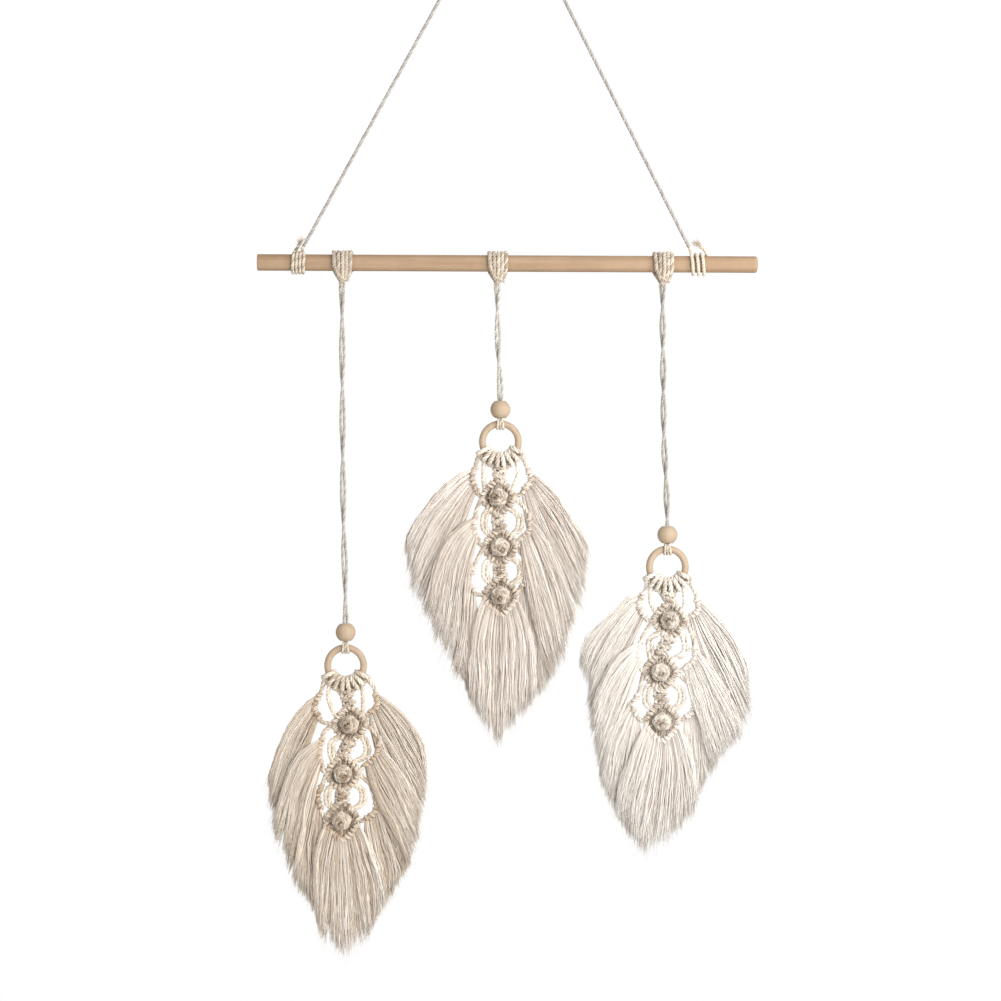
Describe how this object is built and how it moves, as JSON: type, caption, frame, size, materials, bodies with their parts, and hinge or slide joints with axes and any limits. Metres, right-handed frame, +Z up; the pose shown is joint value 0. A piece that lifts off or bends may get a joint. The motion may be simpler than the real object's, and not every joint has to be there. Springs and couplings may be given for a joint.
{
  "type": "macrame wall hanging on a wooden rod",
  "caption": "Macrame wall hanging: fringed leaves with beads and rings hang on twisted cords from a wooden rod under a triangular hanging cord.",
  "frame": {"origin": "underside of the hanging cord at its highest point, where a wall hook carries it", "axes": "+X along the rod to the right as seen from the front, +Y back towards the wall, +Z up"},
  "size_m": [0.4, 0.0208, 0.8538],
  "materials": {
    "wood": "smooth pale beech, unvarnished, fine straight grain",
    "cotton_cord": "natural cream cotton, twisted strands, matt",
    "cotton_fringe": "natural cream cotton, unravelled and combed, matt and fuzzy"
  },
  "bodies": {
    "root": {"rod": "wood", "hanging_cord": "cotton_cord", "hitch_left": "cotton_cord", "hitch_right": "cotton_cord", "rod_knot_left": "cotton_cord", "drop_cord_left": "cotton_cord", "bead_left": "wood", "ring_left": "wood", "ring_loop_left": "cotton_cord", "spine_left": "cotton_cord", "fringe_left_left_upper": "cotton_fringe", "fringe_left_left_middle": "cotton_fringe", "fringe_left_left_lower": "cotton_fringe", "fringe_left_right_upper": "cotton_fringe", "fringe_left_right_middle": "cotton_fringe", "fringe_left_right_lower": "cotton_fringe", "fringe_left_tip": "cotton_fringe", "rod_knot_middle": "cotton_cord", "drop_cord_middle": "cotton_cord", "bead_middle": "wood", "ring_middle": "wood", "ring_loop_middle": "cotton_cord", "spine_middle": "cotton_cord", "fringe_middle_left_upper": "cotton_fringe", "fringe_middle_left_middle": "cotton_fringe", "fringe_middle_left_lower": "cotton_fringe", "fringe_middle_right_upper": "cotton_fringe", "fringe_middle_right_middle": "cotton_fringe", "fringe_middle_right_lower": "cotton_fringe", "fringe_middle_tip": "cotton_fringe", "rod_knot_right": "cotton_cord", "drop_cord_right": "cotton_cord", "bead_right": "wood", "ring_right": "wood", "ring_loop_right": "cotton_cord", "spine_right": "cotton_cord", "fringe_right_left_upper": "cotton_fringe", "fringe_right_left_middle": "cotton_fringe", "fringe_right_left_lower": "cotton_fringe", "fringe_right_right_upper": "cotton_fringe", "fringe_right_right_middle": "cotton_fringe", "fringe_right_right_lower": "cotton_fringe", "fringe_right_tip": "cotton_fringe"}
  },
  "joints": []
}
